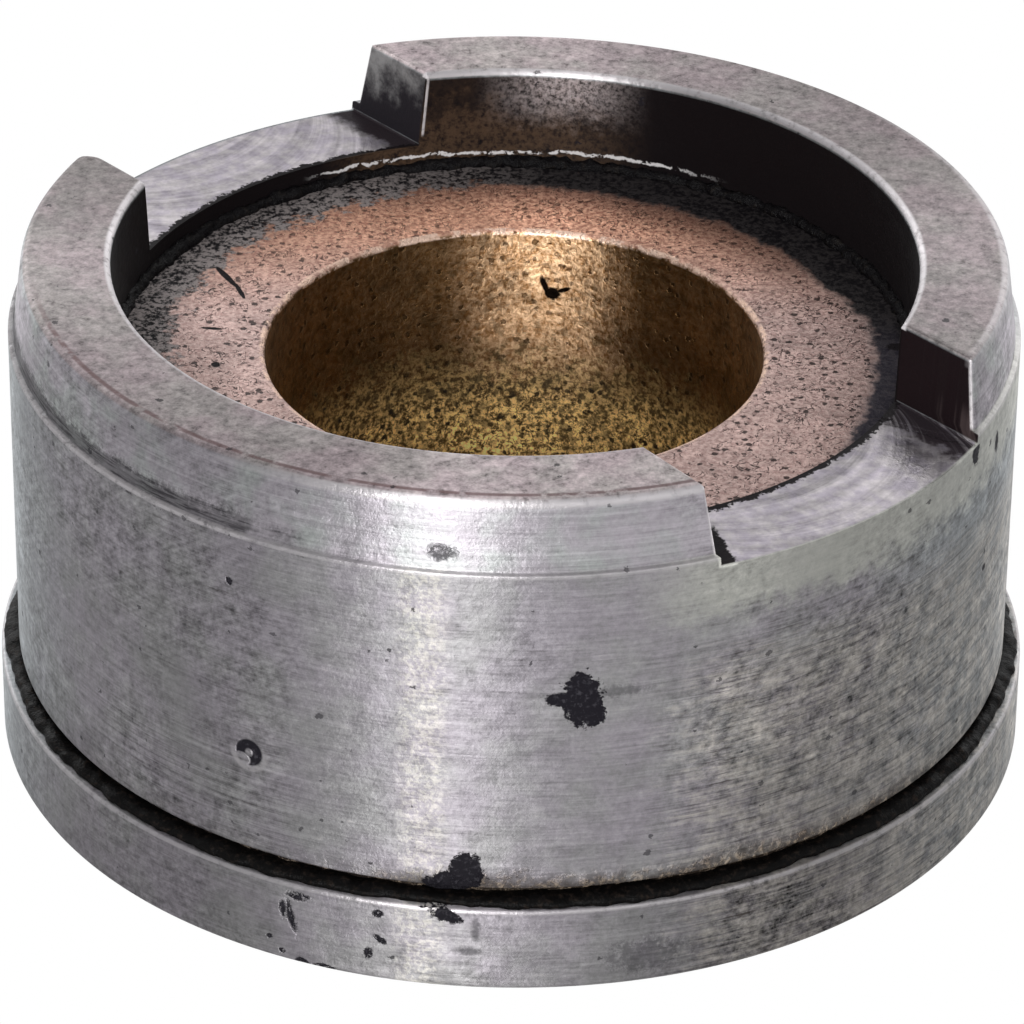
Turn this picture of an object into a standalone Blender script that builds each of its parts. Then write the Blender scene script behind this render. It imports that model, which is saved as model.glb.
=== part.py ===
"""Dog-ended steel carrier ring with a pressed-in sintered bronze sleeve bushing.

Two solids, both turned about Z. The flange stands on Z = 0; the two drive dogs
point up at +Y and -Y, and the slot between them runs along X.
"""
import math

import bmesh
import bpy

MM = 0.001

# ---- carrier ring (steel) ----
TOTAL_H = 26.1 * MM            # flange face to top of the dogs
FLANGE_R = 26.15 * MM
FLANGE_T = 4.55 * MM
BODY_R = 25.25 * MM
RELIEF_R = 24.85 * MM          # undercut between flange shoulder and ground body
RELIEF_TOP = 5.25 * MM
LEDGE_Z = 22.7 * MM            # top of the ground body, foot of the dogs' outer wall
DOG_R_FOOT = 25.0 * MM         # the dogs' outer wall leans in towards the top
DOG_R_TOP = 24.5 * MM
SEAT_R = 20.08 * MM            # bore of the ring that holds the bushing

# ---- slot across the ring, leaving the two dogs ----
SLOT_W_FLOOR = 17.8 * MM
SLOT_W_TOP = 18.5 * MM
SLOT_FLOOR = 22.2 * MM
SLOT_FOOT = 0.3 * MM           # corner left by the cutter at the foot of the dogs

# ---- bushing (sintered bronze) ----
FIT_GAP = 0.3 * MM             # stands in for the press fit
BUSH_R = SEAT_R - FIT_GAP
BORE_R = 12.5 * MM
BUSH_TOP = 20.9 * MM
BUSH_BOTTOM = 0.5 * MM

# ---- edges ----
TOP_EDGE = 0.35 * MM
RIM_CHAMFER = 0.3 * MM
EDGE = 0.25 * MM
BORE_CHAMFER = 0.3 * MM

SEGMENTS = 96


def material(name, colour, metallic, rough):
    mat = bpy.data.materials.new(name)
    mat.use_nodes = True
    shader = mat.node_tree.nodes["Principled BSDF"]
    shader.inputs["Base Color"].default_value = (*colour, 1.0)
    shader.inputs["Metallic"].default_value = metallic
    shader.inputs["Roughness"].default_value = rough
    return mat


def turned(name, profile, coll):
    """Solid of revolution about Z from a closed (radius, height) outline."""
    mesh = bpy.data.meshes.new(name)
    count = len(profile)
    mesh.from_pydata([(r, 0.0, z) for r, z in profile],
                     [(i, (i + 1) % count) for i in range(count)], [])
    obj = bpy.data.objects.new(name, mesh)
    coll.objects.link(obj)
    screw = obj.modifiers.new("turn", "SCREW")
    screw.axis = "Z"
    screw.angle = math.tau
    screw.steps = screw.render_steps = SEGMENTS
    screw.use_merge_vertices = True
    screw.merge_threshold = 0.000001
    screw.use_normal_calculate = True
    screw.use_smooth_shade = True
    return obj


def slot_cutter(coll):
    """Tapered bar, wider at the top, laid across the whole ring."""
    foot = SLOT_W_FLOOR / 2
    top = SLOT_W_TOP / 2
    lean = (top - foot) / (TOTAL_H - SLOT_FLOOR)
    over = 1.0 * MM
    half = []
    for step in range(4):
        turn = math.radians(90.0 * step / 3)
        half.append((foot + (lean - 1.0 + math.sin(turn)) * SLOT_FOOT,
                     SLOT_FLOOR + SLOT_FOOT - SLOT_FOOT * math.cos(turn)))
    knee = TOTAL_H - EDGE
    half.append((foot + lean * (knee - SLOT_FLOOR), knee))
    half.append((top + EDGE + over, TOTAL_H + over))
    outline = half + [(-y, z) for y, z in reversed(half)]
    reach = FLANGE_R + 4.0 * MM
    bm = bmesh.new()
    ends = [[bm.verts.new((x, y, z)) for y, z in outline] for x in (-reach, reach)]
    count = len(outline)
    for i in range(count):
        j = (i + 1) % count
        bm.faces.new((ends[0][i], ends[0][j], ends[1][j], ends[1][i]))
    bm.faces.new(ends[0])
    bm.faces.new(ends[1])
    bmesh.ops.recalc_face_normals(bm, faces=bm.faces[:])
    mesh = bpy.data.meshes.new("cut_slot")
    bm.to_mesh(mesh)
    bm.free()
    obj = bpy.data.objects.new("cut_slot", mesh)
    coll.objects.link(obj)
    obj.hide_render = True
    obj.display_type = "WIRE"
    return obj


for old in list(bpy.data.objects):
    bpy.data.objects.remove(old, do_unlink=True)

scene = bpy.context.scene
parts = bpy.data.collections.new("bronze_sleeve_bushing")
cutters = bpy.data.collections.new("cutters")
scene.collection.children.link(parts)
scene.collection.children.link(cutters)

ring_outline = [
    (DOG_R_TOP - TOP_EDGE, TOTAL_H),
    (DOG_R_TOP - 0.1 * MM, TOTAL_H - 0.1 * MM),
    (DOG_R_TOP, TOTAL_H - TOP_EDGE),
    (DOG_R_FOOT, LEDGE_Z),
    (BODY_R - 0.1 * MM, LEDGE_Z),
    (BODY_R, LEDGE_Z - 0.15 * MM),
    (BODY_R, RELIEF_TOP + 0.1 * MM),
    (BODY_R - 0.1 * MM, RELIEF_TOP),
    (RELIEF_R, RELIEF_TOP),
    (RELIEF_R, FLANGE_T),
    (FLANGE_R - 0.15 * MM, FLANGE_T),
    (FLANGE_R, FLANGE_T - 0.15 * MM),
    (FLANGE_R, EDGE),
    (FLANGE_R - EDGE, 0.0),
    (SEAT_R + RIM_CHAMFER, 0.0),
    (SEAT_R, RIM_CHAMFER),
    (SEAT_R, TOTAL_H - RIM_CHAMFER),
    (SEAT_R + RIM_CHAMFER, TOTAL_H),
]
ring = turned("carrier_ring", ring_outline, parts)
cut = slot_cutter(cutters)
boolean = ring.modifiers.new("slot", "BOOLEAN")
boolean.operation = "DIFFERENCE"
boolean.solver = "EXACT"
boolean.object = cut

bush_outline = [
    (BUSH_R - EDGE, BUSH_TOP),
    (BUSH_R, BUSH_TOP - EDGE),
    (BUSH_R, BUSH_BOTTOM + EDGE),
    (BUSH_R - EDGE, BUSH_BOTTOM),
    (BORE_R + BORE_CHAMFER, BUSH_BOTTOM),
    (BORE_R, BUSH_BOTTOM + BORE_CHAMFER),
    (BORE_R, BUSH_TOP - BORE_CHAMFER),
    (BORE_R + BORE_CHAMFER, BUSH_TOP),
]
bush = turned("bronze_bushing", bush_outline, parts)

steel = material("ground_steel", (0.42, 0.41, 0.42), 1.0, 0.35)
bronze = material("sintered_bronze", (0.60, 0.42, 0.31), 1.0, 0.45)
for obj, mat in ((ring, steel), (bush, bronze)):
    obj.data.materials.append(mat)
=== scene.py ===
"""Look of the dog-ended carrier ring with its pressed-in sintered bronze bushing."""

import math

import bmesh
import bpy
from mathutils import Matrix, Vector, noise


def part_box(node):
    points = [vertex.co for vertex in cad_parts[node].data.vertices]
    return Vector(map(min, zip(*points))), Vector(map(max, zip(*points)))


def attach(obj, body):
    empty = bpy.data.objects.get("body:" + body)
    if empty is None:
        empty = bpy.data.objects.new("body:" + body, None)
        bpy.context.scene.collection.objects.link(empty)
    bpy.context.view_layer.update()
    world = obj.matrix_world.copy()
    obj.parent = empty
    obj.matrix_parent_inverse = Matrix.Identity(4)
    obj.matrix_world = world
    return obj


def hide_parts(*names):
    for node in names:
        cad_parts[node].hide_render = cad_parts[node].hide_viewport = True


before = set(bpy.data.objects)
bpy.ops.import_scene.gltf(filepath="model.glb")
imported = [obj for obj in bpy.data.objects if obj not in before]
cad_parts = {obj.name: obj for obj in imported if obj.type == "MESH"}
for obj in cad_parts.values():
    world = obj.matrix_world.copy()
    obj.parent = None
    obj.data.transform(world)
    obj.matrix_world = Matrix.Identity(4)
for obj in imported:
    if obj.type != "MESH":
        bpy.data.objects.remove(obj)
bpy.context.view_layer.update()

MM = 0.001
DEGREES = 180.0 / math.pi
ring_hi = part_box("carrier_ring")[1]
bush_lo, bush_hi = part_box("bronze_bushing")

# ---- sizes in millimetres, as in the CAD ----
TOTAL_H = ring_hi[2] / MM
FLANGE_R = ring_hi[0] / MM
FLANGE_T = 4.55
BODY_R = 25.25
RELIEF_R = 24.85
RELIEF_TOP = 5.25
LEDGE_Z = 22.7
DOG_R_FOOT = 25.0
DOG_R_TOP = 24.5
SEAT_R = 20.08
SLOT_W_FLOOR = 17.8
SLOT_W_TOP = 18.5
SLOT_FLOOR = 22.2
SLOT_FOOT = 0.08
DOG_TOP = TOTAL_H + 0.27           # the visible dogs stand a little prouder than the CAD
DOG_EDGE = 0.30
CORNER_IN = 0.16                   # the dogs' upright inner corners are a little rounded
CORNER_DRIFT = 0.67                # their outer corners stand this much further out at the ledge
BAR_END = 30.0                     # the slot's cutters reach this far along X, clear of the ring
SLOT_LEAN = (SLOT_W_TOP - SLOT_W_FLOOR) / 2 / (DOG_TOP - SLOT_FLOOR)
LATE_START = 2.3                   # the near wall stands into the slot on the right
LATE_FALL = 0.0733
EARLY = 0.42                       # and the rear wall stands back on the left
BORE_R = 12.5
BUSH_TOP = bush_hi[2] / MM
BUSH_BOTTOM = bush_lo[2] / MM

VIEW_TURN = math.radians(48.0)     # the picture is taken from this far round, to the right of -Y
SEGMENTS = 288
QUARTER = [math.radians(15.0 * step) for step in range(7)]     # a quarter turn, for rounded edges


# ------------------------------------------------------------------ meshes
def new_object(name, mesh):
    obj = bpy.data.objects.new(name, mesh)
    bpy.context.scene.collection.objects.link(obj)
    return obj


def closed(name, bm):
    """New object with the closed mesh built in bm, its normals turned outwards."""
    bmesh.ops.recalc_face_normals(bm, faces=bm.faces[:])
    mesh = bpy.data.meshes.new(name)
    bm.to_mesh(mesh)
    bm.free()
    return new_object(name, mesh)


def rounded(corners, steps=4):
    """Closed outline from (r, z, radius) corners, each rounded with an arc."""
    points = []
    count = len(corners)
    for i in range(count):
        here = Vector(corners[i][:2])
        radius = corners[i][2]
        before = (Vector(corners[i - 1][:2]) - here)
        after = (Vector(corners[(i + 1) % count][:2]) - here)
        if radius <= 0.0:
            points.append(here)
            continue
        angle = before.angle(after)
        reach = min(radius / math.tan(angle / 2), before.length * 0.49, after.length * 0.49)
        radius = reach * math.tan(angle / 2)
        before.normalize()
        after.normalize()
        centre = here + (before + after).normalized() * (radius / math.sin(angle / 2))
        start = here + before * reach - centre
        end = here + after * reach - centre
        for k in range(steps + 1):
            t = k / steps
            p = start.lerp(end, t)
            points.append(centre + p.normalized() * radius)
    return [(p.x * MM, p.y * MM) for p in points]


def turned(name, outline, segments=SEGMENTS):
    """Closed solid of revolution about Z from an outline in metres."""
    bm = bmesh.new()
    rings = []
    for k in range(segments):
        a = math.tau * k / segments
        rings.append([bm.verts.new((r * math.cos(a), r * math.sin(a), z)) for r, z in outline])
    count = len(outline)
    for k in range(segments):
        here, there = rings[k], rings[(k + 1) % segments]
        for i in range(count):
            j = (i + 1) % count
            bm.faces.new((here[i], there[i], there[j], here[j]))
    return closed(name, bm)


def late(x):
    """How far the near wall stands into the slot on the right, x mm from the middle."""
    return LATE_START - LATE_FALL * x


def early(x):
    """How far the rear wall stands back from the slot on the left, x mm from the middle."""
    return EARLY * x / DOG_R_TOP


def straight(x):
    return 0.0


def corner_stops(wall_y, rounds):
    """How far the upright corners of a dog's wall at wall_y are rounded away: {x: mm}."""
    inner = math.sqrt((SEAT_R + CORNER_IN) ** 2 - (wall_y + CORNER_IN) ** 2)
    outer = math.sqrt((DOG_R_TOP - rounds) ** 2 - (wall_y + rounds) ** 2)
    stops = {0.0: CORNER_IN / 2}
    for turn in QUARTER:
        if turn < QUARTER[5]:
            stops[inner - CORNER_IN * math.sin(turn)] = CORNER_IN * (1.0 - math.cos(turn))
        stops[outer + rounds * math.sin(turn)] = rounds * (1.0 - math.cos(turn))
    stops[outer + rounds + 0.3] = stops[BAR_END] = rounds + 0.9
    return stops


def between(stops, x):
    """Straight-line reading of the stops at x."""
    keys = sorted(stops)
    for low, high in zip(keys, keys[1:]):
        if low <= x <= high:
            return stops[low] + (stops[high] - stops[low]) * (x - low) / (high - low)
    return 0.0


def slot_bar(name, side, shifts, rounds):
    """Tapered bar along X that cuts the slot on one side, +1 or -1.

    For the rear and near walls, shifts give how far the wall stands towards +Y of its
    nominal place at x, and rounds the plan radius of the dog's outer corner."""
    foot, top = SLOT_W_FLOOR / 2, SLOT_W_TOP / 2
    brow = foot + SLOT_LEAN * (DOG_TOP - DOG_EDGE - SLOT_FLOOR)
    half = []
    for turn in QUARTER:
        half.append((foot + (SLOT_LEAN - 1.0 + math.sin(turn)) * SLOT_FOOT,
                     SLOT_FLOOR + SLOT_FOOT - SLOT_FOOT * math.cos(turn)))
    for z in (LEDGE_Z, LEDGE_Z + 0.04):
        half.append((foot + SLOT_LEAN * (z - SLOT_FLOOR), z))
    for turn in QUARTER:
        half.append((brow + DOG_EDGE * (1.0 - math.cos(turn)),
                     DOG_TOP - DOG_EDGE * (0.99 - math.sin(turn))))
    half.append((brow + DOG_EDGE, DOG_TOP + 1.0))

    corner_x = 20.0                # the walls' shifts hardly change from here to the outer corner
    rear = corner_stops(top + shifts[0](corner_x), rounds[0])
    front = corner_stops(top - shifts[1](corner_x), rounds[1])
    bm = bmesh.new()
    loops = []
    for x in sorted(set(rear) | set(front)):
        loop = []
        for outline, stops, sign, shift in ((half, rear, 1.0, shifts[0]),
                                            (half[::-1], front, -1.0, shifts[1])):
            for y, z in outline:
                by_place = between(stops, x) if z > LEDGE_Z + 0.02 else 0.0
                # the dogs' outer wall leans in, so the outer corners move in with height
                up = min(1.0, max(0.0, (z - LEDGE_Z) / (DOG_TOP - LEDGE_Z)))
                out = (1.0 - up) * CORNER_DRIFT if x > SEAT_R + 0.42 else 0.0
                place = (side * (x + out) * MM, (shift(x) + sign * (y + by_place)) * MM, z * MM)
                loop.append(bm.verts.new(place))
        loops.append(loop)
    count = len(loops[0])
    for here, there in zip(loops, loops[1:]):
        for i in range(count):
            j = (i + 1) % count
            bm.faces.new((here[i], here[j], there[j], there[i]))
    bm.faces.new(loops[0])
    bm.faces.new(loops[-1])
    return closed(name, bm)


def apply_all(obj):
    """Turns the object's modifiers into its mesh."""
    graph = bpy.context.evaluated_depsgraph_get()
    graph.update()
    mesh = bpy.data.meshes.new_from_object(obj.evaluated_get(graph))
    old = obj.data
    obj.modifiers.clear()
    obj.data = mesh
    bpy.data.meshes.remove(old)


def shade(obj, degrees):
    obj.data.shade_smooth()
    obj.data.set_sharp_from_angle(angle=math.radians(degrees))


ring = turned("steel_carrier", rounded([
    (DOG_R_TOP, DOG_TOP, 0.45),
    (DOG_R_FOOT - 0.02, LEDGE_Z + 0.05, 0.12),
    (BODY_R, LEDGE_Z, 0.10),
    (BODY_R, RELIEF_TOP, 0.12),
    (RELIEF_R, RELIEF_TOP, 0.1),
    (RELIEF_R, FLANGE_T, 0.15),
    (FLANGE_R, FLANGE_T, 0.16),
    (FLANGE_R, 0.0, 0.3),
    (SEAT_R, 0.0, 0.35),
    (SEAT_R, DOG_TOP, 0.36),
]))
# on the photographed part the near dog ends late on the right, and the rear dog early on the left
for bar in (slot_bar("slot_left", -1, (early, straight), (0.30, 0.95)),
            slot_bar("slot_right", 1, (straight, late), (0.25, 0.20))):
    cut = ring.modifiers.new(bar.name, "BOOLEAN")
    cut.operation = "DIFFERENCE"
    cut.solver = "EXACT"
    cut.object = bar
    apply_all(ring)
    bpy.data.objects.remove(bar, do_unlink=True)
shade(ring, 40.0)
flat_first = ring.modifiers.new("normals", "WEIGHTED_NORMAL")
flat_first.keep_sharp = True
apply_all(ring)

bush = turned("sintered_bush", rounded([
    (BORE_R, BUSH_TOP, 0.28),
    (SEAT_R - 0.04, BUSH_TOP, 0.1),
    (SEAT_R - 0.04, BUSH_BOTTOM, 0.25),
    (BORE_R, BUSH_BOTTOM, 0.4),
]))
shade(bush, 40.0)


def bead(name, centre, radii, wobble, grain, steps=720, around=14, seed=0.0):
    """Lumpy closed ring of sludge about Z, with an elliptical section."""
    bm = bmesh.new()
    loops = []
    for k in range(steps):
        a = math.tau * k / steps
        way = Vector((math.cos(a), math.sin(a), 0.0))
        slow = noise.noise(way * grain[0] + Vector((0, 0, seed)))
        loop = []
        for i in range(around):
            b = math.tau * i / around
            size = 1.0 + wobble[0] * slow
            r = centre[0] + radii[0] * size * math.cos(b)
            z = centre[1] + radii[1] * size * math.sin(b)
            p = way * r
            p.z = z
            fine = noise.fractal(p * grain[1], 0.8, 2.0, 3)
            r += wobble[1] * fine * math.cos(b)
            z += wobble[1] * fine * math.sin(b)
            loop.append(bm.verts.new((way.x * r * MM, way.y * r * MM, z * MM)))
        loops.append(loop)
    for k in range(steps):
        here, there = loops[k], loops[(k + 1) % steps]
        for i in range(around):
            j = (i + 1) % around
            bm.faces.new((here[i], there[i], there[j], here[j]))
    obj = closed(name, bm)
    obj.data.shade_smooth()
    return obj


seat_bead = bead("seat_oil_bead", (SEAT_R - 0.02, BUSH_TOP + 0.05), radii=(0.42, 0.40),
                 wobble=(0.35, 0.20), grain=(6.0, 1.3))
groove_bead = bead("groove_grime", (RELIEF_R + 0.30, FLANGE_T + 0.10), radii=(0.72, 0.34),
                   wobble=(0.45, 0.14), grain=(4.0, 0.9), seed=7.0)


# --------------------------------------------------------------- materials
class Graph:
    """Short names for the shader nodes used below."""

    def __init__(self, name):
        self.mat = bpy.data.materials.new(name)
        self.mat.use_nodes = True
        self.tree = self.mat.node_tree
        self.shader = self.tree.nodes["Principled BSDF"]
        coord = self.tree.nodes.new("ShaderNodeTexCoord")
        scale = self.node("ShaderNodeVectorMath", operation="SCALE")
        self.tree.links.new(coord.outputs["Object"], scale.inputs[0])
        scale.inputs["Scale"].default_value = 1.0 / MM
        turn = self.node("ShaderNodeVectorRotate", rotation_type="Z_AXIS")
        self.tree.links.new(scale.outputs[0], turn.inputs["Vector"])
        turn.inputs["Angle"].default_value = -VIEW_TURN
        self.p = turn.outputs[0]               # millimetres, -Y towards the viewer
        row = self.node("ShaderNodeSeparateXYZ")
        self.tree.links.new(scale.outputs[0], row.inputs[0])
        self.row_x, self.row_y = row.outputs[0], row.outputs[1]
        split = self.node("ShaderNodeSeparateXYZ")
        self.link(self.p, split.inputs[0])
        self.x, self.y, self.z = split.outputs
        self.r = self.math("SQRT", self.add(self.mul(self.x, self.x), self.mul(self.y, self.y)))
        # angle from the viewer's side, to the right, in degrees
        self.a = self.mul(self.math("ARCTAN2", self.x, self.mul(self.y, -1.0)), DEGREES)

    def node(self, kind, **props):
        made = self.tree.nodes.new(kind)
        for key, value in props.items():
            setattr(made, key, value)
        return made

    def link(self, source, socket):
        if hasattr(source, "is_output"):
            self.tree.links.new(source, socket)
        else:
            socket.default_value = source

    def math(self, op, a, b=None, c=None, clamp=False):
        made = self.node("ShaderNodeMath", operation=op, use_clamp=clamp)
        for value, socket in zip((a, b, c), made.inputs):
            if value is not None:
                self.link(value, socket)
        return made.outputs[0]

    def add(self, a, b):
        return self.math("ADD", a, b)

    def sub(self, a, b):
        return self.math("SUBTRACT", a, b)

    def mul(self, value, *others):
        for other in others:
            value = self.math("MULTIPLY", value, other)
        return value

    def sway(self, pattern, gain, middle):
        """Value that a 0 to 1 pattern swings about its middle."""
        return self.math("MULTIPLY_ADD", self.sub(pattern, 0.5), gain, middle)

    def channel(self, colour, index):
        made = self.node("ShaderNodeSeparateColor")
        self.link(colour, made.inputs[0])
        return made.outputs[index]

    def spun(self, vector, degrees):
        made = self.node("ShaderNodeVectorRotate", rotation_type="Z_AXIS")
        self.link(vector, made.inputs["Vector"])
        made.inputs["Angle"].default_value = math.radians(degrees)
        return made.outputs[0]

    def tint(self, colour, tone):
        return self.mix(1.0, colour, self.vector(tone, tone, tone), "MULTIPLY")

    def step(self, value, low, high, to_low=0.0, to_high=1.0):
        """Smooth ramp from to_low at low to to_high at high."""
        made = self.node("ShaderNodeMapRange", interpolation_type="SMOOTHSTEP")
        flip = high < low
        self.link(value, made.inputs["Value"])
        made.inputs["From Min"].default_value = high if flip else low
        made.inputs["From Max"].default_value = low if flip else high
        made.inputs["To Min"].default_value = to_high if flip else to_low
        made.inputs["To Max"].default_value = to_low if flip else to_high
        return made.outputs[0]

    def band(self, value, centre, low, high):
        """Smooth ramp by the distance from centre, on both sides of it."""
        return self.step(self.math("ABSOLUTE", self.sub(value, centre)), low, high)

    def noise(self, scale, detail=3.0, rough=0.55, stretch=(1, 1, 1), offset=(0, 0, 0), warp=0.0, at=None):
        mapping = self.node("ShaderNodeMapping")
        self.link(self.p if at is None else at, mapping.inputs["Vector"])
        mapping.inputs["Scale"].default_value = stretch
        mapping.inputs["Location"].default_value = offset
        made = self.node("ShaderNodeTexNoise", noise_dimensions="3D")
        self.link(mapping.outputs[0], made.inputs["Vector"])
        made.inputs["Scale"].default_value = scale
        made.inputs["Detail"].default_value = detail
        made.inputs["Roughness"].default_value = rough
        made.inputs["Distortion"].default_value = warp
        return made.outputs[0]

    def cells(self, scale, stretch=(1, 1, 1), offset=(0, 0, 0), feature="F1", at=None, random=1.0):
        mapping = self.node("ShaderNodeMapping")
        self.link(self.p if at is None else at, mapping.inputs["Vector"])
        mapping.inputs["Scale"].default_value = stretch
        mapping.inputs["Location"].default_value = offset
        made = self.node("ShaderNodeTexVoronoi", feature=feature)
        self.link(mapping.outputs[0], made.inputs["Vector"])
        made.inputs["Scale"].default_value = scale
        made.inputs["Randomness"].default_value = random
        return made

    def mix(self, fac, a, b, blend="MIX"):
        made = self.node("ShaderNodeMix", data_type="RGBA", blend_type=blend)
        self.link(fac, made.inputs[0])
        for value, socket in ((a, made.inputs[6]), (b, made.inputs[7])):
            if isinstance(value, tuple):
                socket.default_value = (*value, 1.0)
            else:
                self.link(value, socket)
        return made.outputs[2]

    def lerp(self, fac, a, b):
        made = self.node("ShaderNodeMix", data_type="FLOAT")
        self.link(fac, made.inputs[0])
        self.link(a, made.inputs[2])
        self.link(b, made.inputs[3])
        return made.outputs[0]

    def most(self, *values):
        out = values[0]
        for value in values[1:]:
            out = self.math("MAXIMUM", out, value)
        return out

    def vector(self, x, y, z):
        made = self.node("ShaderNodeCombineXYZ")
        for value, socket in zip((x, y, z), made.inputs):
            self.link(value, socket)
        return made.outputs[0]

    def spot(self, u, v, at, size, ragged=0.0, soft=0.12, lean=0.0):
        """Mask of one mark at (u, v) mm on a surface laid flat as (u, v)."""
        du, dv = self.sub(u, at[0]), self.sub(v, at[1])
        c, s = math.cos(math.radians(lean)), math.sin(math.radians(lean))
        e = self.math("MULTIPLY_ADD", du, c / size[0], self.mul(dv, s / size[0]))
        f = self.math("MULTIPLY_ADD", dv, c / size[1], self.mul(du, -s / size[1]))
        dist = self.math("SQRT", self.add(self.mul(e, e), self.mul(f, f)))
        if ragged:
            dist = self.math("MULTIPLY_ADD", self.torn, ragged * 2.0, dist)
        return self.step(dist, 1.0 + soft, 1.0 - soft)

    def bump(self, height):
        """Bump from a height in millimetres."""
        made = self.node("ShaderNodeBump")
        made.inputs["Strength"].default_value = 1.0
        made.inputs["Distance"].default_value = MM
        self.link(height, made.inputs["Height"])
        return made.outputs[0]

    def brushed_round(self, amount):
        """Shine of a surface whose fine marks run round the Z axis."""
        self.shader.inputs["Anisotropic"].default_value = amount
        self.shader.inputs["Anisotropic Rotation"].default_value = 0.25
        tangent = self.node("ShaderNodeTangent", direction_type="RADIAL", axis="Z")
        self.link(tangent.outputs[0], self.shader.inputs["Tangent"])


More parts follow.
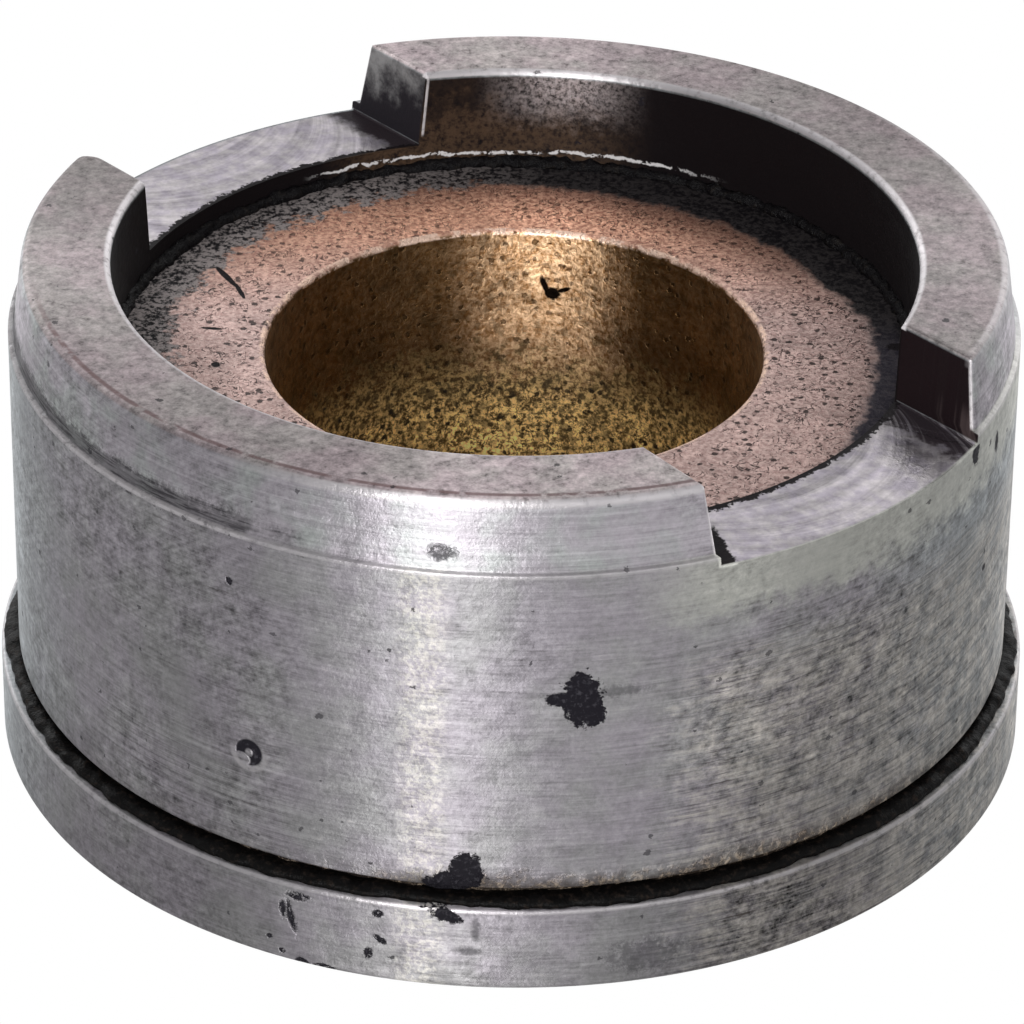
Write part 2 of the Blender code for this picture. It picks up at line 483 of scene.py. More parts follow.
def steel_material():
    """Ground, turned and oil-stained steel. Zones are told apart by place on the part."""
    g = Graph("carrier_steel")
    m, add, mul, sub, step, noise = g.math, g.add, g.mul, g.sub, g.step, g.noise
    sway, band = g.sway, g.band
    arc = mul(g.a, BODY_R / DEGREES)
    flat = g.vector(arc, g.z, 0.0)

    # patterns
    large = noise(0.16, 2.0, 0.5, offset=(4, 4, 2))
    hue = noise(0.28, 3.0, 0.6, offset=(11, 3, 7))
    middle = noise(0.9, 4.0, 0.68, offset=(3, 5, 1))
    blotch = noise(1.9, 3.0, 0.66, offset=(7, 1, 8))
    fine = noise(4.2, 3.0, 0.72, offset=(9, 2, 4))
    lines = noise(1.0, 3.0, 0.75, stretch=(0.05, 0.05, 5.0), offset=(5, 1, 3))
    dashes = noise(1.0, 3.0, 0.72, stretch=(0.45, 0.45, 6.5), offset=(2, 1, 0))
    cross = noise(1.0, 3.0, 0.66, stretch=(0.45, 3.6, 1), offset=(1, 6, 0), at=g.spun(flat, -32.0))
    g.torn = sway(fine, 0.9, sub(noise(1.3, 3.0, 0.7, offset=(1, 1, 9)), 0.5))
    cell = g.cells(0.9, stretch=(1, 1, 1.25), offset=(1, 2, 3))
    chance, spread = g.channel(cell.outputs["Color"], 0), g.channel(cell.outputs["Color"], 1)
    speck = m("MULTIPLY_ADD", g.torn, 0.5, m("MULTIPLY_ADD", spread, -0.16, cell.outputs["Distance"]))
    speck = mul(step(speck, 0.03, -0.01), step(chance, 0.66, 0.70))

    # zones
    up = step(g.z, SLOT_FLOOR - 0.12, SLOT_FLOOR - 0.02)
    side = step(g.r, 24.3, 24.6)
    seat = step(g.r, SEAT_R + 0.16, SEAT_R + 0.04)
    top = step(g.z, DOG_TOP - 0.20, DOG_TOP - 0.08)
    half_slot = m("MULTIPLY_ADD", g.z, SLOT_LEAN, SLOT_W_FLOOR / 2 - SLOT_LEAN * SLOT_FLOOR)
    late_wall = mul(step(g.row_x, -0.5, 0.5), m("MULTIPLY_ADD", g.row_x, -LATE_FALL, LATE_START))
    off_wall = sub(add(g.row_y, half_slot), late_wall)
    early_wall = m("MAXIMUM", mul(g.row_x, -EARLY / DOG_R_TOP), 0.0)
    inside = m("MINIMUM", add(sub(half_slot, g.row_y), early_wall), off_wall)
    in_slot = step(inside, -0.12, -0.05)
    low = step(g.z, SLOT_FLOOR + 0.16, SLOT_FLOOR + 0.06)
    slot_floor = mul(in_slot, low, up, step(g.r, BODY_R - 0.04, BODY_R - 0.2))
    end_wall = mul(in_slot, sub(1.0, low), step(g.z, DOG_TOP - 0.05, DOG_TOP - 0.25))
    right_side = step(g.row_x, -1.0, 1.0)
    relief = mul(step(g.r, BODY_R + 0.02, BODY_R - 0.10), step(g.z, FLANGE_T - 0.05, FLANGE_T + 0.02),
                 step(g.z, RELIEF_TOP + 0.25, RELIEF_TOP))
    dog = mul(step(g.z, LEDGE_Z + 0.02, LEDGE_Z + 0.2), side, sub(1.0, end_wall))
    seat_wall = mul(seat, step(g.z, DOG_TOP - 0.22, DOG_TOP - 0.42))

    # how dirty the ground body is: clean in front, stained towards both sides
    clean = mul(step(g.a, -34.0, -14.0), step(g.a, 30.0, 6.0))
    stain = step(sway(large, 1.6, mul(sub(1.0, clean), 0.55)), 0.05, 0.75)
    tooled = mul(step(g.a, -60.0, -48.0), step(g.a, -18.0, -30.0), step(g.z, 5.5, 6.5),
                 step(g.z, 12.5, 9.5))
    right_dirt = mul(step(g.a, 10.0, 26.0), step(sway(middle, 9.0, g.z), 20.5, 15.5))
    right_dirt = mul(right_dirt, step(g.a, 165.0, 110.0))

    # body tone, 1 is plain
    tone = sway(middle, g.lerp(stain, 0.6, 1.9), 1.0)
    tone = sway(blotch, g.lerp(stain, 0.35, 1.6), tone)
    tone = sway(dashes, g.lerp(stain, 0.7, 1.25), tone)
    tone = sway(cross, mul(stain, step(g.z, 9.0, 16.0, 0.4, 1.3)), tone)
    tone = sway(lines, g.lerp(g.most(tooled, mul(right_dirt, 0.45)), 0.4, 1.9), tone)
    tone = sway(fine, g.lerp(stain, 0.6, 1.2), tone)
    # lighter on the front left with a painted highlight beside the streak, and along both outlines with a
    # painted reflection of the bright surround; darker in the dirt on the right
    front_highlight = mul(step(g.a, -36.0, -18.0), step(m("MULTIPLY_ADD", g.z, -0.8, g.a), 26.0, 12.0))
    tone = mul(tone, g.lerp(front_highlight, 1.0, 1.24))
    # painted reflection: the body is made lighter near both outlines, where it mirrors the bright surround
    outline_reflection = mul(band(g.a, 0.0, 70.0, 79.0), band(g.a, 0.0, 96.0, 84.0))
    tone = mul(tone, g.lerp(outline_reflection, 1.0, 1.30))
    tone = m("MULTIPLY_ADD", right_dirt, -0.11, tone)
    flange = mul(step(g.r, BODY_R + 0.3, BODY_R + 0.5), step(g.z, FLANGE_T + 0.05, FLANGE_T - 0.1))
    soiled = mul(flange, step(g.a, -66.0, -54.0), step(g.a, -24.0, -36.0))
    tone = m("MULTIPLY_ADD", mul(soiled, step(middle, 0.46, 0.60)), -0.30, tone)
    tone = m("MULTIPLY_ADD", mul(flange, step(g.a, 4.0, 16.0), step(g.a, 48.0, 34.0)), -0.30, tone)

    # pale worn band below the slot on the right
    pale_edge = sway(middle, 4.0, sub(g.z, mul(m("ABSOLUTE", sub(g.a, 47.0)), 0.010)))
    pale = mul(step(pale_edge, 18.4, 20.4), step(g.a, 12.0, 24.0), step(g.z, LEDGE_Z + 0.4, LEDGE_Z))
    pale = mul(pale, side, step(g.a, 95.0, 80.0))

    body = g.mix(step(hue, 0.34, 0.66), (0.276, 0.270, 0.272), (0.286, 0.266, 0.288))
    body = g.mix(band(g.a, -8.0, 44.0, 72.0), body, (0.262, 0.276, 0.284))
    warm = mul(step(add(mul(right_dirt, 0.24), add(mul(dashes, 0.5), mul(middle, 0.5))), 0.60, 0.84),
               0.85)
    body = g.mix(warm, body, (0.37, 0.345, 0.315))
    scratch = mul(step(dashes, 0.44, 0.30), add(mul(right_dirt, 0.52), mul(stain, 0.25)))
    # painted sheen: pale yellowish flecks along the highlight streak on the front
    streak_sheen = mul(band(g.a, -9.5, 3.6, 1.2), step(m("MULTIPLY_ADD", blotch, 0.5, fine), 0.68, 0.86))
    body = g.mix(mul(streak_sheen, 0.38), body, (0.46, 0.435, 0.37))
    body = g.mix(mul(pale, 0.9), body, (0.430, 0.428, 0.392))
    body = g.tint(body, g.lerp(pale, tone, m("MULTIPLY_ADD", sub(tone, 1.0), 0.5, 1.0)))
    body = g.mix(mul(scratch, sub(1.0, mul(pale, 0.7))), body, (0.085, 0.070, 0.062))

    # dogs' leaning outer wall is paler, with long soft scratches
    wall = g.mix(step(hue, 0.3, 0.6), (0.330, 0.345, 0.335), (0.345, 0.320, 0.345))
    wall = g.tint(wall, sway(lines, 0.7, m("MULTIPLY_ADD", sub(tone, 1.0), 0.8, 1.04)))
    colour = g.mix(dog, body, wall)

    # flat tops of the dogs
    land = g.mix(step(hue, 0.36, 0.64), (0.312, 0.284, 0.276), (0.330, 0.276, 0.284))
    grit = sway(fine, 1.5, sway(blotch, 1.5, 1.0))
    # painted light and shade on the tops by place: lighter in front and behind on the left, darker to the
    # left and right
    by_place = 1.0
    for place, gain in ((mul(step(g.a, -20.0, 10.0), step(g.y, -8.0, -16.0)), 0.42),
                        (step(g.x, -12.0, -23.0), -0.16),
                        (mul(step(g.x, -10.0, -18.0), step(g.y, -2.0, 5.0)), -0.16),
                        (mul(step(g.x, 3.0, -4.0), step(g.y, 15.0, 18.0)), 0.28),
                        (mul(step(g.y, 4.0, 20.0), step(g.x, 16.0, -4.0)), 0.15),
                        (step(g.x, 11.0, 20.0), -0.24)):
        by_place = m("MULTIPLY_ADD", place, gain, by_place)
    land = g.tint(land, mul(by_place, sway(middle, 1.2, grit)))
    land = g.mix(mul(step(sway(fine, 0.6, blotch), 0.34, 0.24), 0.55), land, (0.090, 0.072, 0.072))
    spots = g.most(*(g.spot(g.row_x, g.row_y, at, size, ragged=0.5, soft=0.3) for at, size in (
        ((21.2, 6.8), (0.5, 0.3)), ((21.4, 4.3), (0.3, 0.5)), ((21.2, 5.1), (0.25, 0.25)))))
    rust = mul(band(g.r, DOG_R_TOP - 0.52, 0.20, 0.06), step(g.y, 4.0, 0.0))
    rust = mul(rust, step(middle, 0.36, 0.50), step(g.a, -82.0, -66.0), step(g.a, 30.0, 20.0))
    land = g.mix(mul(rust, 0.75), land, (0.120, 0.066, 0.066))
    fleck = g.spot(g.row_x, g.row_y, (-21.67, -4.75), (0.30, 0.26), ragged=0.2, soft=0.3)
    land = g.mix(fleck, land, (0.80, 0.76, 0.76))
    colour = g.mix(top, colour, land)

    # milled slot floor: arcs left by the end of a cutter
    cutter_r = 9.0
    swept = sub(g.row_x, m("SQRT", m("MAXIMUM", sub(cutter_r ** 2, mul(g.row_y, g.row_y)), 1.0)))
    arcs = noise(1.0, 3.0, 0.70, stretch=(0.85, 0.05, 0.05), at=g.vector(swept, g.row_y, 0.0), warp=0.6)
    milled = g.mix(step(middle, 0.36, 0.64), (0.385, 0.350, 0.395), (0.50, 0.465, 0.475))
    milled = g.tint(milled, sway(arcs, 1.9, sway(blotch, 0.9, 1.0)))
    # painted shade on the slot floor along the foot of the dogs' walls, where the dark walls are mirrored
    near_wall = step(sway(middle, 2.6, g.row_y), 6.3, 7.6)
    wall_foot_shade = mul(near_wall, right_side, step(arcs, 0.72, 0.50, 0.55, 1.0))
    wall_foot_shade = g.most(wall_foot_shade, mul(step(sway(middle, 1.6, g.row_y), 7.4, 8.3), sub(1.0, right_side)))
    milled = g.mix(wall_foot_shade, milled, (0.022, 0.017, 0.020))
    # black wedge of painted shadow at the foot of the near dog, and the oily inner lip of the slot
    shadow_wedge_lean, shadow_wedge_y = -0.443, 3.2
    shadow_wedge = sub(m("MULTIPLY_ADD", g.row_x, shadow_wedge_lean, shadow_wedge_y), g.row_y)
    shadow_wedge = mul(step(m("MULTIPLY_ADD", g.torn, 0.6, shadow_wedge), -0.08, 0.10), step(g.row_x, 20.7, 21.1))
    inner_lip = step(m("MULTIPLY_ADD", g.torn, 0.9, g.r), SEAT_R + 0.42, SEAT_R + 0.30)
    corner_dirt = g.most(*(g.spot(g.row_x, g.row_y, at, size, ragged=0.6, soft=0.2) for at, size in (
        ((21.3, 13.4), (0.5, 0.7)), ((-16.1, 12.1), (0.35, 0.35)), ((-18.6, 10.4), (0.9, 0.5)))))
    dirt_and_shadow = g.most(shadow_wedge, inner_lip, corner_dirt)
    milled = g.mix(dirt_and_shadow, milled, (0.008, 0.006, 0.007))
    colour = g.mix(slot_floor, colour, milled)

    # end walls of the dogs: oily grey on the left, black on the right
    height = sway(middle, 6.0, add(g.z, mul(sub(g.r, 22.5), 0.35)))
    left_wall = g.mix(mul(step(height, 23.6, 27.2), step(g.z, 22.9, 24.0)), (0.014, 0.012, 0.015),
                      (0.20, 0.195, 0.195))
    right_wall = g.mix(mul(step(arcs, 0.55, 0.70), step(g.z, 24.2, 23.0)), (0.010, 0.006, 0.007),
                       (0.050, 0.036, 0.036))
    dirty_end = mul(end_wall, step(g.row_y, 0.0, 2.0))
    colour = g.mix(dirty_end, colour, g.mix(right_side, left_wall, right_wall))

    # seat wall: brown-black oil film, thinner behind and to the left, with a painted highlight near the
    # top behind and a painted glint along the oil bead
    behind = step(g.y, 8.0, 19.0)
    film = sway(fine, 1.1, sway(blotch, 0.7, 0.0))
    rear_turn = mul(m("ARCTAN2", g.x, g.y), DEGREES)
    brown = mul(step(rear_turn, -32.0, -20.0), step(rear_turn, 22.0, 6.0), behind)
    brown = mul(brown, step(sway(middle, 6.0, g.z), 25.2, 23.2, 0.22, 1.0))
    oil = g.mix(mul(step(film, -0.34, 0.22), brown), (0.0060, 0.0045, 0.0050), (0.056, 0.034, 0.021))
    # painted highlight on the seat wall behind, near the top
    seat_highlight = mul(band(rear_turn, 7.0, 14.0, 2.0), step(sway(blotch, 3.0, g.z), 22.8, 25.4))
    # painted glint: a thin broken highlight along the top of the oil bead
    glint_z = sway(middle, 0.8, g.z)
    glint = mul(band(glint_z, BUSH_TOP + 0.72, 0.12, 0.05), step(blotch, 0.42, 0.48))
    glint = mul(glint, seat_wall, step(rear_turn, -34.0, -28.0), step(rear_turn, 34.0, 22.0))
    oil = g.mix(mul(seat_highlight, step(fine, 0.28, 0.66)), oil, (0.27, 0.235, 0.235))
    oil = g.mix(mul(glint, 0.8), oil, (0.62, 0.60, 0.60))
    colour = g.mix(seat_wall, colour, oil)

    # undercut above the flange: brown sludge with brighter flecks in front
    crust = step(add(mul(fine, 0.5), mul(blotch, 0.5)), 0.47, 0.62)
    in_front = mul(step(g.a, -44.0, -20.0), step(g.a, 62.0, 34.0))
    colour = g.mix(relief, colour, g.mix(mul(crust, in_front), (0.012, 0.009, 0.008), (0.24, 0.19, 0.15)))
    skirt = mul(side, step(sway(middle, 1.8, g.z), 6.5, 5.3), step(g.z, FLANGE_T + 0.1, RELIEF_TOP))
    skirt = mul(skirt, g.lerp(mul(step(g.a, -18.0, -8.0), step(g.a, 64.0, 46.0)), 0.12, 1.0))
    colour = g.mix(mul(skirt, 0.85), colour, g.mix(crust, (0.030, 0.022, 0.016), (0.22, 0.165, 0.11)))

    # charcoal smear of grime at the foot of the near dog
    over_ledge = m("MULTIPLY_ADD", g.torn, 0.9, sub(g.z, LEDGE_Z))
    smear = mul(step(over_ledge, 1.30, 0.60), step(over_ledge, -0.25, -0.05))
    smear = mul(smear, side, step(g.a, -112.0, -98.0), step(sway(middle, 40.0, g.a), -16.0, -36.0))
    smear = mul(smear, sub(1.0, in_slot), step(dashes, 0.36, 0.56, 1.0, 0.78))
    colour = g.mix(smear, colour, (0.026, 0.024, 0.027))

    # chips and spots on the outside, laid out as (degrees round, mm up)
    def mark(az, up_mm, size, **more):
        return g.spot(arc, g.z, (math.radians(az) * BODY_R, up_mm), size, **more)

    nicks = g.most(
        mark(-23.6, 2.70, (0.20, 0.95), ragged=0.9, soft=0.3, lean=12.0),
        mark(-22.8, 3.95, (0.55, 0.22), ragged=0.9, soft=0.3),
        mark(-24.6, 3.10, (0.22, 0.50), ragged=0.9, soft=0.3),
        mark(-13.8, 3.85, (0.26, 0.22), ragged=0.6, soft=0.15),
        mark(-13.6, 2.40, (0.40, 0.18), ragged=0.8, soft=0.2, lean=-38.0),
        mark(-14.9, 1.45, (0.20, 0.34), ragged=0.9, soft=0.2),
        mark(-26.2, 1.20, (0.18, 0.16), ragged=0.6, soft=0.2),
        mark(-24.7, 0.55, (0.18, 0.16), ragged=0.6, soft=0.2),
        mark(-22.4, 0.18, (0.36, 0.26), ragged=0.5, soft=0.15),
        mark(-19.8, 0.10, (0.55, 0.26), ragged=0.6, soft=0.15),
    )
    black = g.most(
        mul(nicks, step(fine, 0.36, 0.46)),
        mul(mark(-7.6, 23.6, (0.66, 0.40), ragged=1.0, soft=0.2), dog, step(fine, 0.40, 0.56, 0.25, 0.8)),
        mark(7.7, 15.95, (1.00, 1.35), ragged=0.55, soft=0.06),
        mark(8.9, 15.0, (0.62, 0.62), ragged=0.45, soft=0.06),
        mark(5.5, 15.95, (0.78, 0.42), ragged=0.40, soft=0.1, lean=6.0),
        mark(-4.6, 6.1, (0.80, 1.10), ragged=0.45, soft=0.06),
        mark(-6.6, 5.35, (1.30, 0.75), ragged=0.50, soft=0.06, lean=14.0),
        mark(-6.4, 4.15, (0.75, 0.34), ragged=0.6, soft=0.1, lean=-16.0),
        mark(-31.8, 20.05, (0.20, 0.22), ragged=0.6, soft=0.2),
        mark(69.2, 20.9, (0.26, 0.55), ragged=0.5, soft=0.2),
        mark(66.9, 14.3, (0.24, 0.18), ragged=0.3, soft=0.3),
        mark(62.5, 21.7, (0.42, 0.62), ragged=0.5, soft=0.15),
    )
    # crescent pit with a pale halo
    pit_arc, pit_z = math.radians(-29.6) * BODY_R, 10.75
    out = m("SQRT", add(m("POWER", sub(arc, pit_arc), 2.0), m("POWER", sub(g.z, pit_z), 2.0)))
    gap = g.spot(arc, g.z, (pit_arc - 0.42, pit_z - 0.47), (0.46, 0.36), soft=0.2)
    pit = mul(band(out, 0.47, 0.36, 0.20), sub(1.0, gap))
    halo = mul(band(out, 0.92, 0.24, 0.05), sub(1.0, pit), step(g.z, 11.4, 10.2))
    black = g.most(black, pit)
    smudge = g.most(
        mark(14.7, 1.6, (1.7, 0.9), ragged=0.9, soft=0.4),
        mark(-3.4, 3.42, (0.22, 0.75), ragged=0.6, soft=0.5),
        mark(-4.3, 2.2, (0.7, 0.22), ragged=0.6, soft=0.5),
        mark(11.0, 16.2, (1.6, 0.30), ragged=0.8, soft=0.5),
    )
    outside = mul(side, g.most(sub(1.0, up), dog))
    dark = mul(g.most(black, mul(smudge, 0.6)), outside)
    dark = g.most(dark, mul(speck, 0.8, sub(1.0, end_wall), sub(1.0, slot_floor)), mul(spots, top))
    colour = g.mix(dark, colour,
                   g.mix(step(fine, 0.50, 0.70), (0.010, 0.009, 0.012), (0.036, 0.034, 0.040)))

    # painted highlights along the rounded edges, and the pit's pale halo
    rim = mul(step(g.r, SEAT_R + 0.40, SEAT_R + 0.22), step(g.z, DOG_TOP - 0.30, DOG_TOP - 0.22))
    ledge = mul(side, band(g.z, LEDGE_Z - 0.06, 0.16, 0.06), sub(1.0, in_slot))
    lip_highlight = mul(band(g.z, FLANGE_T - 0.10, 0.14, 0.05), step(g.r, FLANGE_R - 0.3, FLANGE_R - 0.1))
    edge_band = mul(step(inside, -0.17, -0.10), step(inside, -0.005, -0.03),
                    step(g.z, SLOT_FLOOR + 0.5, SLOT_FLOOR + 0.8))
    rear_left = mul(sub(1.0, right_side), step(g.row_y, 0.0, 2.0))
    corner = mul(edge_band,
                 g.most(step(g.r, 24.2, 24.4), mul(rear_left, step(g.r, SEAT_R + 0.4, SEAT_R + 0.2))))
    brow = mul(step(g.r, DOG_R_TOP - 0.50, DOG_R_TOP - 0.30), step(g.z, DOG_TOP - 0.48, DOG_TOP - 0.34),
               step(g.z, DOG_TOP - 0.02, DOG_TOP - 0.10), step(g.a, -40.0, -18.0), step(g.a, 60.0, 40.0))
    far_brow = mul(step(g.r, DOG_R_TOP - 0.50, DOG_R_TOP - 0.30),
                   step(g.z, DOG_TOP - 0.60, DOG_TOP - 0.40), step(g.a, 60.0, 74.0),
                   step(g.a, 140.0, 118.0))
    edge_highlight_and_halo = g.most(mul(far_brow, 0.5), mul(rim, 0.95), mul(ledge, 0.45), mul(lip_highlight, 0.6), mul(corner, 0.7),
                    mul(halo, outside, 0.5), mul(brow, 0.95))
    colour = g.mix(mul(edge_highlight_and_halo, sub(1.0, dark), step(blotch, 0.28, 0.5, 0.4, 1.0)), colour,
                   (0.56, 0.53, 0.54))
    g.link(colour, g.shader.inputs["Base Color"])

    # metal shows through everywhere but under dirt, and under the painted shade and shadow on the slot
    # floor
    wet = g.most(mul(seat_wall, sub(1.0, mul(seat_highlight, 0.7))), relief, mul(skirt, 0.7), dark, mul(smear, 0.9),
                 mul(dirty_end, 0.85), mul(g.most(dirt_and_shadow, wall_foot_shade), up, in_slot))
    g.link(sub(1.0, mul(wet, 0.95)), g.shader.inputs["Metallic"])
    g.link(g.lerp(wet, 0.5, 0.05), g.shader.inputs["Specular IOR Level"])
    rough = sway(middle, 0.35, sway(dashes, 0.25, 0.44))
    rough = g.lerp(slot_floor, rough, 0.40)
    g.link(rough, g.shader.inputs["Roughness"])
    g.brushed_round(0.88)

    height = add(mul(middle, 0.035), mul(fine, 0.014))
    height = m("MULTIPLY_ADD", dashes, 0.010, height)
    height = m("MULTIPLY_ADD", lines, g.lerp(tooled, 0.006, 0.020), height)
    height = m("MULTIPLY_ADD", mul(arcs, slot_floor), 0.030, height)
    height = m("MULTIPLY_ADD", mul(crust, g.most(relief, skirt)), 0.06, height)
    height = m("MULTIPLY_ADD", black, -0.05, height)
    g.link(g.bump(height), g.shader.inputs["Normal"])
    return g.mat


def bronze_material():
    """Sintered bronze: pink worn face with open pores, golden bore, oil-black outer ring."""
    g = Graph("sintered_bronze_look")
    m, add, mul, sub, step, noise = g.math, g.add, g.mul, g.sub, g.step, g.noise
    sway, band = g.sway, g.band
    grain = noise(3.4, 3.0, 0.72)
    cloud = noise(0.5, 3.0, 0.6, offset=(3, 1, 6))
    patch = noise(1.3, 4.0, 0.7, offset=(6, 2, 1))
    worm = noise(1.7, 2.0, 0.55, offset=(2, 7, 5), warp=1.2)
    g.torn = sub(patch, 0.5)
    cell = g.cells(1.75, offset=(5, 3, 1))

    face = step(g.z, BUSH_TOP - 0.20, BUSH_TOP - 0.05)
    behind = step(g.y, 2.0, 15.0)
    left = step(g.x, 3.0, -9.0)
    worms = mul(band(worm, 0.5, 0.040, 0.008), step(patch, 0.44, 0.56))
    dots = mul(step(sway(grain, 0.60, cell.outputs["Distance"]), 0.32, 0.20),
               step(g.channel(cell.outputs["Color"], 0), 0.46, 0.52))

    # face
    pink = g.mix(step(grain, 0.34, 0.66), (0.38, 0.250, 0.225), (0.69, 0.515, 0.468))
    hot = g.mix(step(grain, 0.34, 0.66), (0.46, 0.185, 0.105), (0.98, 0.55, 0.34))
    pink = g.mix(mul(behind, 0.75), pink, hot)
    pink = g.tint(pink, sway(cloud, 0.9, sway(patch, 0.8, 1.0)))

    # oil-black outer ring, wide behind, crisp on the right, patchy on the left
    late_side = mul(step(g.a, 78.0, 38.0), step(g.x, 0.0, 4.0))
    start = add(g.lerp(left, 17.9, 17.2), mul(late_side, 2.0))
    start = m("MULTIPLY_ADD", mul(step(g.x, -3.0, 7.0), step(g.y, 2.0, 8.0)), -0.9, start)
    edge_r = sway(patch, g.lerp(left, 1.2, 5.0), sway(cloud, 1.4, g.r))
    edge_r = sub(edge_r, start)
    spread = step(edge_r, -0.30, 0.45)
    haze = mul(step(edge_r, -3.6, 0.3), g.lerp(behind, 0.10, g.lerp(left, 0.80, 0.45)))
    crumbs = mul(step(sway(patch, 0.6, grain), 0.40, 0.60), g.lerp(left, 0.06, 0.85))
    slate = mul(step(g.x, 6.0, 15.0), step(g.y, 4.5, -1.0), step(g.r, 19.6, 19.2))
    oil = g.mix(crumbs, g.mix(slate, (0.0060, 0.0050, 0.0060), (0.022, 0.019, 0.026)), (0.31, 0.27, 0.26))
    skin = g.mix(haze, pink, (0.11, 0.055, 0.045))
    skin = g.mix(mul(g.most(worms, dots), g.lerp(behind, 0.90, 0.65)), skin, (0.022, 0.014, 0.013))
    gash = g.most(g.spot(g.x, g.y, (-14.75, 7.1), (1.30, 0.17), ragged=0.3, soft=0.1, lean=-62.0),
                  g.spot(g.x, g.y, (-14.0, 5.6), (0.85, 0.13), ragged=0.3, soft=0.1, lean=-72.0),
                  g.spot(g.x, g.y, (-15.2, 1.6), (0.55, 0.12), ragged=0.7, soft=0.2, lean=-8.0),
                  g.spot(g.x, g.y, (-14.85, -2.1), (0.24, 0.3), ragged=0.6, soft=0.2),
                  g.spot(g.x, g.y, (19.15, 0.5), (0.5, 0.4), ragged=0.7, soft=0.2))
    skin = g.mix(spread, skin, oil)
    skin = g.mix(gash, skin, (0.008, 0.006, 0.007))

    # bore: rubbed gold above, with painted shade on both sides and lower down, and open yellow-green grain
    # below that grows lighter towards the bottom
    deep = step(sway(patch, 7.0, g.z), 15.0, 10.5)
    gold = g.mix(step(grain, 0.32, 0.66), (0.50, 0.26, 0.11), (1.0, 0.68, 0.42))
    rear_turn = mul(m("ARCTAN2", g.x, g.y), DEGREES)
    shade_side = band(rear_turn, 7.0, 8.0, 26.0)
    gold = g.mix(mul(shade_side, 0.88), gold, (0.110, 0.056, 0.018))
    gold = g.tint(gold, step(g.z, 12.0, 17.0, 0.62, 1.0))
    low = g.mix(step(grain, 0.38, 0.60), (0.12, 0.070, 0.020), (1.0, 0.68, 0.27))
    low = g.tint(low, step(g.z, 13.5, 8.0, 0.62, 1.35))
    bore = g.mix(deep, gold, low)
    bore = g.tint(bore, sway(cloud, 1.3, 1.0))
    smear = mul(step(patch, 0.50, 0.38), g.lerp(deep, 0.45, step(g.z, 7.0, 12.0, 0.45, 0.85)))
    bore = g.mix(smear, bore, (0.050, 0.030, 0.010))
    holes = g.lerp(deep, mul(dots, 0.6), g.most(worms, dots))
    bore = g.mix(mul(holes, 0.92), bore, (0.014, 0.009, 0.004))
    around = mul(rear_turn, BORE_R / DEGREES)
    pit = g.most(g.spot(around, g.z, (2.0, 17.3), (0.42, 0.34), ragged=0.9, soft=0.15),
                 g.spot(around, g.z, (1.55, 17.75), (0.16, 0.55), ragged=0.5, soft=0.2, lean=20.0),
                 g.spot(around, g.z, (2.55, 17.55), (0.45, 0.12), ragged=0.5, soft=0.2, lean=24.0))
    bore = g.mix(pit, bore, (0.006, 0.004, 0.003))
    colour = g.mix(face, bore, skin)
    # painted highlight along the broken edge of the bore, in places
    lip_highlight = mul(step(g.r, BORE_R + 0.36, BORE_R + 0.20), step(g.z, BUSH_TOP - 0.32, BUSH_TOP - 0.20))
    colour = g.mix(mul(lip_highlight, step(patch, 0.42, 0.56)), colour, (0.82, 0.60, 0.48))
    g.link(colour, g.shader.inputs["Base Color"])

    wet = g.most(mul(face, spread, sub(1.0, crumbs)), mul(gash, face))
    g.link(sub(1.0, mul(g.most(wet, mul(deep, sub(1.0, face), 0.5)), 0.9)), g.shader.inputs["Metallic"])
    g.link(g.lerp(wet, 0.5, 0.04), g.shader.inputs["Specular IOR Level"])
    rough = sway(grain, 0.4, g.lerp(face, g.lerp(deep, 0.42, 0.58), 0.52))
    g.link(rough, g.shader.inputs["Roughness"])
    g.brushed_round(0.78)

    sunk = g.most(g.lerp(face, holes, mul(g.most(worms, dots), sub(1.0, spread))), mul(gash, face),
                  mul(pit, sub(1.0, face)))
    height = m("MULTIPLY_ADD", grain, 0.045, mul(patch, 0.07))
    height = m("MULTIPLY_ADD", sunk, -0.045, height)
    g.link(g.bump(height), g.shader.inputs["Normal"])
    return g.mat


def grime_material(name, dark, pale, rough, lumps, shine):
    g = Graph(name)
    grain = g.noise(2.6, 4.0, 0.7)
    g.link(g.mix(g.step(grain, 0.5, 0.72), dark, pale), g.shader.inputs["Base Color"])
    g.link(g.add(rough, g.mul(g.sub(grain, 0.5), 0.3)), g.shader.inputs["Roughness"])
    g.shader.inputs["Specular IOR Level"].default_value = shine
    g.link(g.bump(g.mul(grain, lumps)), g.shader.inputs["Normal"])
    return g.mat


def paint(obj, mat):
    obj.data.materials.clear()
    obj.data.materials.append(mat)


paint(ring, steel_material())
paint(bush, bronze_material())
paint(seat_bead, grime_material("wet_oil", (0.003, 0.0025, 0.003), (0.010, 0.008, 0.007),
                                rough=0.30, lumps=0.20, shine=0.08))
paint(groove_bead, grime_material("packed_grime", (0.0020, 0.0018, 0.0018), (0.014, 0.010, 0.008),
                                  rough=0.36, lumps=0.09, shine=0.06))

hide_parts("carrier_ring")
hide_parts("bronze_bushing")
for piece, slot_name in ((ring, "ground_steel"), (bush, "sintered_bronze"),
                         (seat_bead, None), (groove_bead, None)):
    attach(piece, "root")


# ------------------------------------------------------------------- stage
FLOOR_REACH = 3.0                  # metres from the middle to each side
FLOOR_GAP = 0.1 * MM               # keeps the floor clear of the flange's lower face
AIM = Vector((0, 0, 15.0 * MM))    # the lights point at the middle of the object

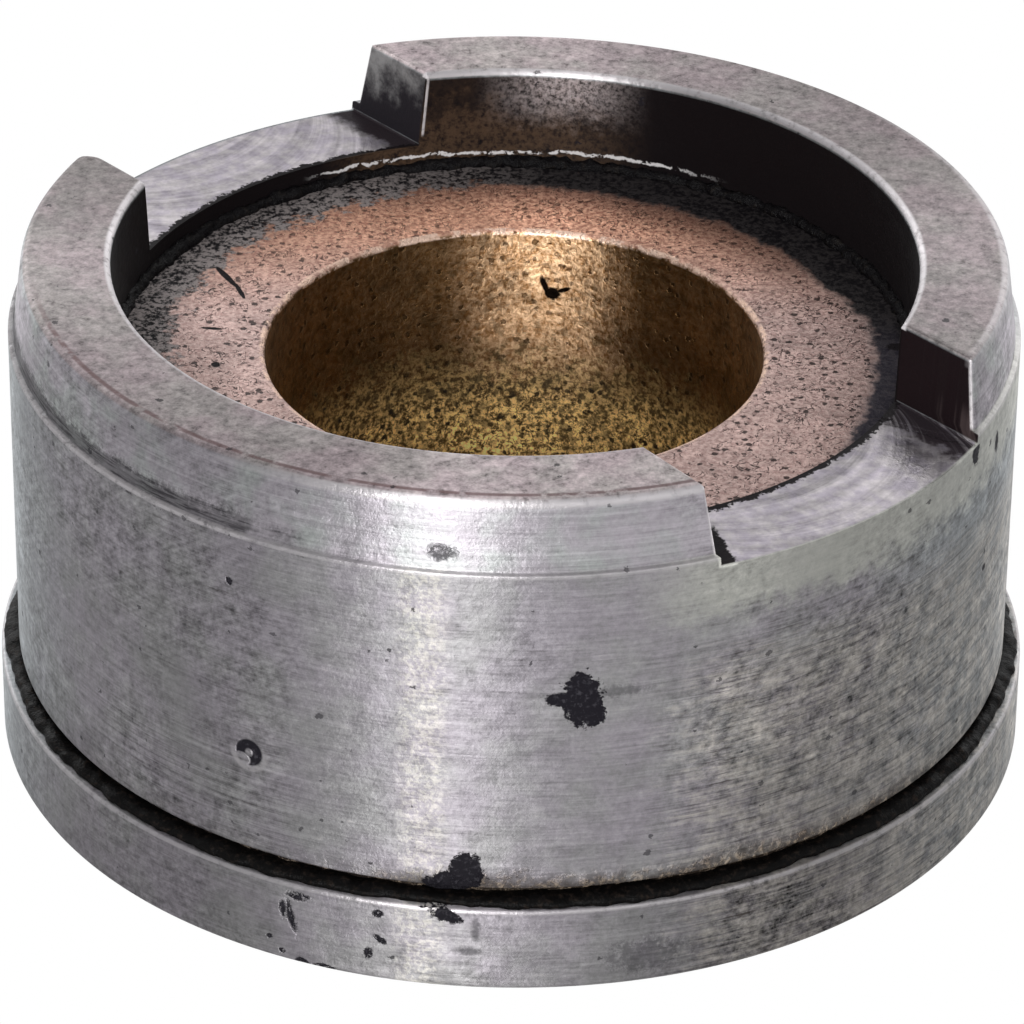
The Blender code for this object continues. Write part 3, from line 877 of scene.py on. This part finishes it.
floor_mesh = bpy.data.meshes.new("floor")
floor_mesh.from_pydata([(x * FLOOR_REACH, y * FLOOR_REACH, 0)
                        for x, y in ((-1, -1), (1, -1), (1, 1), (-1, 1))], [], [(0, 1, 2, 3)])
floor = new_object("floor", floor_mesh)
floor.location.z = -FLOOR_GAP
floor_mat = bpy.data.materials.new("pale_floor")
floor_mat.use_nodes = True
tree = floor_mat.node_tree
paper = tree.nodes["Principled BSDF"]
paper.inputs["Base Color"].default_value = (0.62, 0.62, 0.62, 1.0)
paper.inputs["Roughness"].default_value = 0.9
glow = tree.nodes.new("ShaderNodeEmission")
glow.inputs["Color"].default_value = (1.0, 1.0, 1.0, 1.0)
both = tree.nodes.new("ShaderNodeMixShader")
path = tree.nodes.new("ShaderNodeLightPath")
tree.links.new(path.outputs["Is Camera Ray"], both.inputs[0])
tree.links.new(paper.outputs[0], both.inputs[1])
tree.links.new(glow.outputs[0], both.inputs[2])
tree.links.new(both.outputs[0], tree.nodes["Material Output"].inputs["Surface"])
floor.data.materials.append(floor_mat)

bpy.context.scene.view_settings.view_transform = "Standard"
world = bpy.data.worlds.new("studio")
bpy.context.scene.world = world
world.use_nodes = True
world.node_tree.nodes["Background"].inputs["Color"].default_value = (0.97, 0.98, 1.0, 1.0)
world.node_tree.nodes["Background"].inputs["Strength"].default_value = 0.60


def softbox(name, side, height, distance, size, power):
    """Area light aimed at the object; side and height are degrees right of the viewer and up."""
    angle = VIEW_TURN - math.pi / 2 + math.radians(side)
    up = math.radians(height)
    way = Vector((math.cos(angle) * math.cos(up), math.sin(angle) * math.cos(up), math.sin(up)))
    data = bpy.data.lights.new(name, "AREA")
    data.shape = "RECTANGLE"
    data.size, data.size_y = size
    data.energy = power
    lamp = bpy.data.objects.new(name, data)
    bpy.context.scene.collection.objects.link(lamp)
    lamp.location = AIM + way * distance
    lamp.rotation_euler = (-way).to_track_quat("-Z", "Y").to_euler()


softbox("key", -15.5, 23.0, 0.9, (0.25, 0.35), 5.2)
softbox("front", 14.0, 28.0, 1.2, (2.0, 0.6), 5.0)
softbox("left_edge", -152.0, 10.0, 1.0, (0.35, 0.8), 1.4)
softbox("right_edge", 152.0, 10.0, 1.0, (0.35, 0.8), 1.0)
softbox("back", 180.0, 32.0, 1.0, (2.4, 1.0), 4.6)


# ------------------------------------------------------------------ camera
TILT = math.radians(30.54)
ROLL = math.radians(0.63)
EYE = Vector((-0.02, -264.03, 167.08)) * MM        # before the turn to the viewer's side
turn = Matrix.Rotation(VIEW_TURN, 3, "Z")
right = Vector((1, 0, 0))
down = Vector((0, -math.sin(TILT), -math.cos(TILT)))
ahead = Vector((0, math.cos(TILT), -math.sin(TILT)))
right, down = (right * math.cos(ROLL) - down * math.sin(ROLL),
               right * math.sin(ROLL) + down * math.cos(ROLL))
axes = Matrix((turn @ right, turn @ -down, turn @ -ahead)).transposed().to_4x4()
camera_data = bpy.data.cameras.new("camera")
camera_data.sensor_width = 36.0
camera_data.lens = 211.6
camera_data.clip_start = 0.01
camera = bpy.data.objects.new("camera", camera_data)
bpy.context.scene.collection.objects.link(camera)
camera.matrix_world = Matrix.Translation(turn @ EYE) @ axes
bpy.context.scene.camera = camera
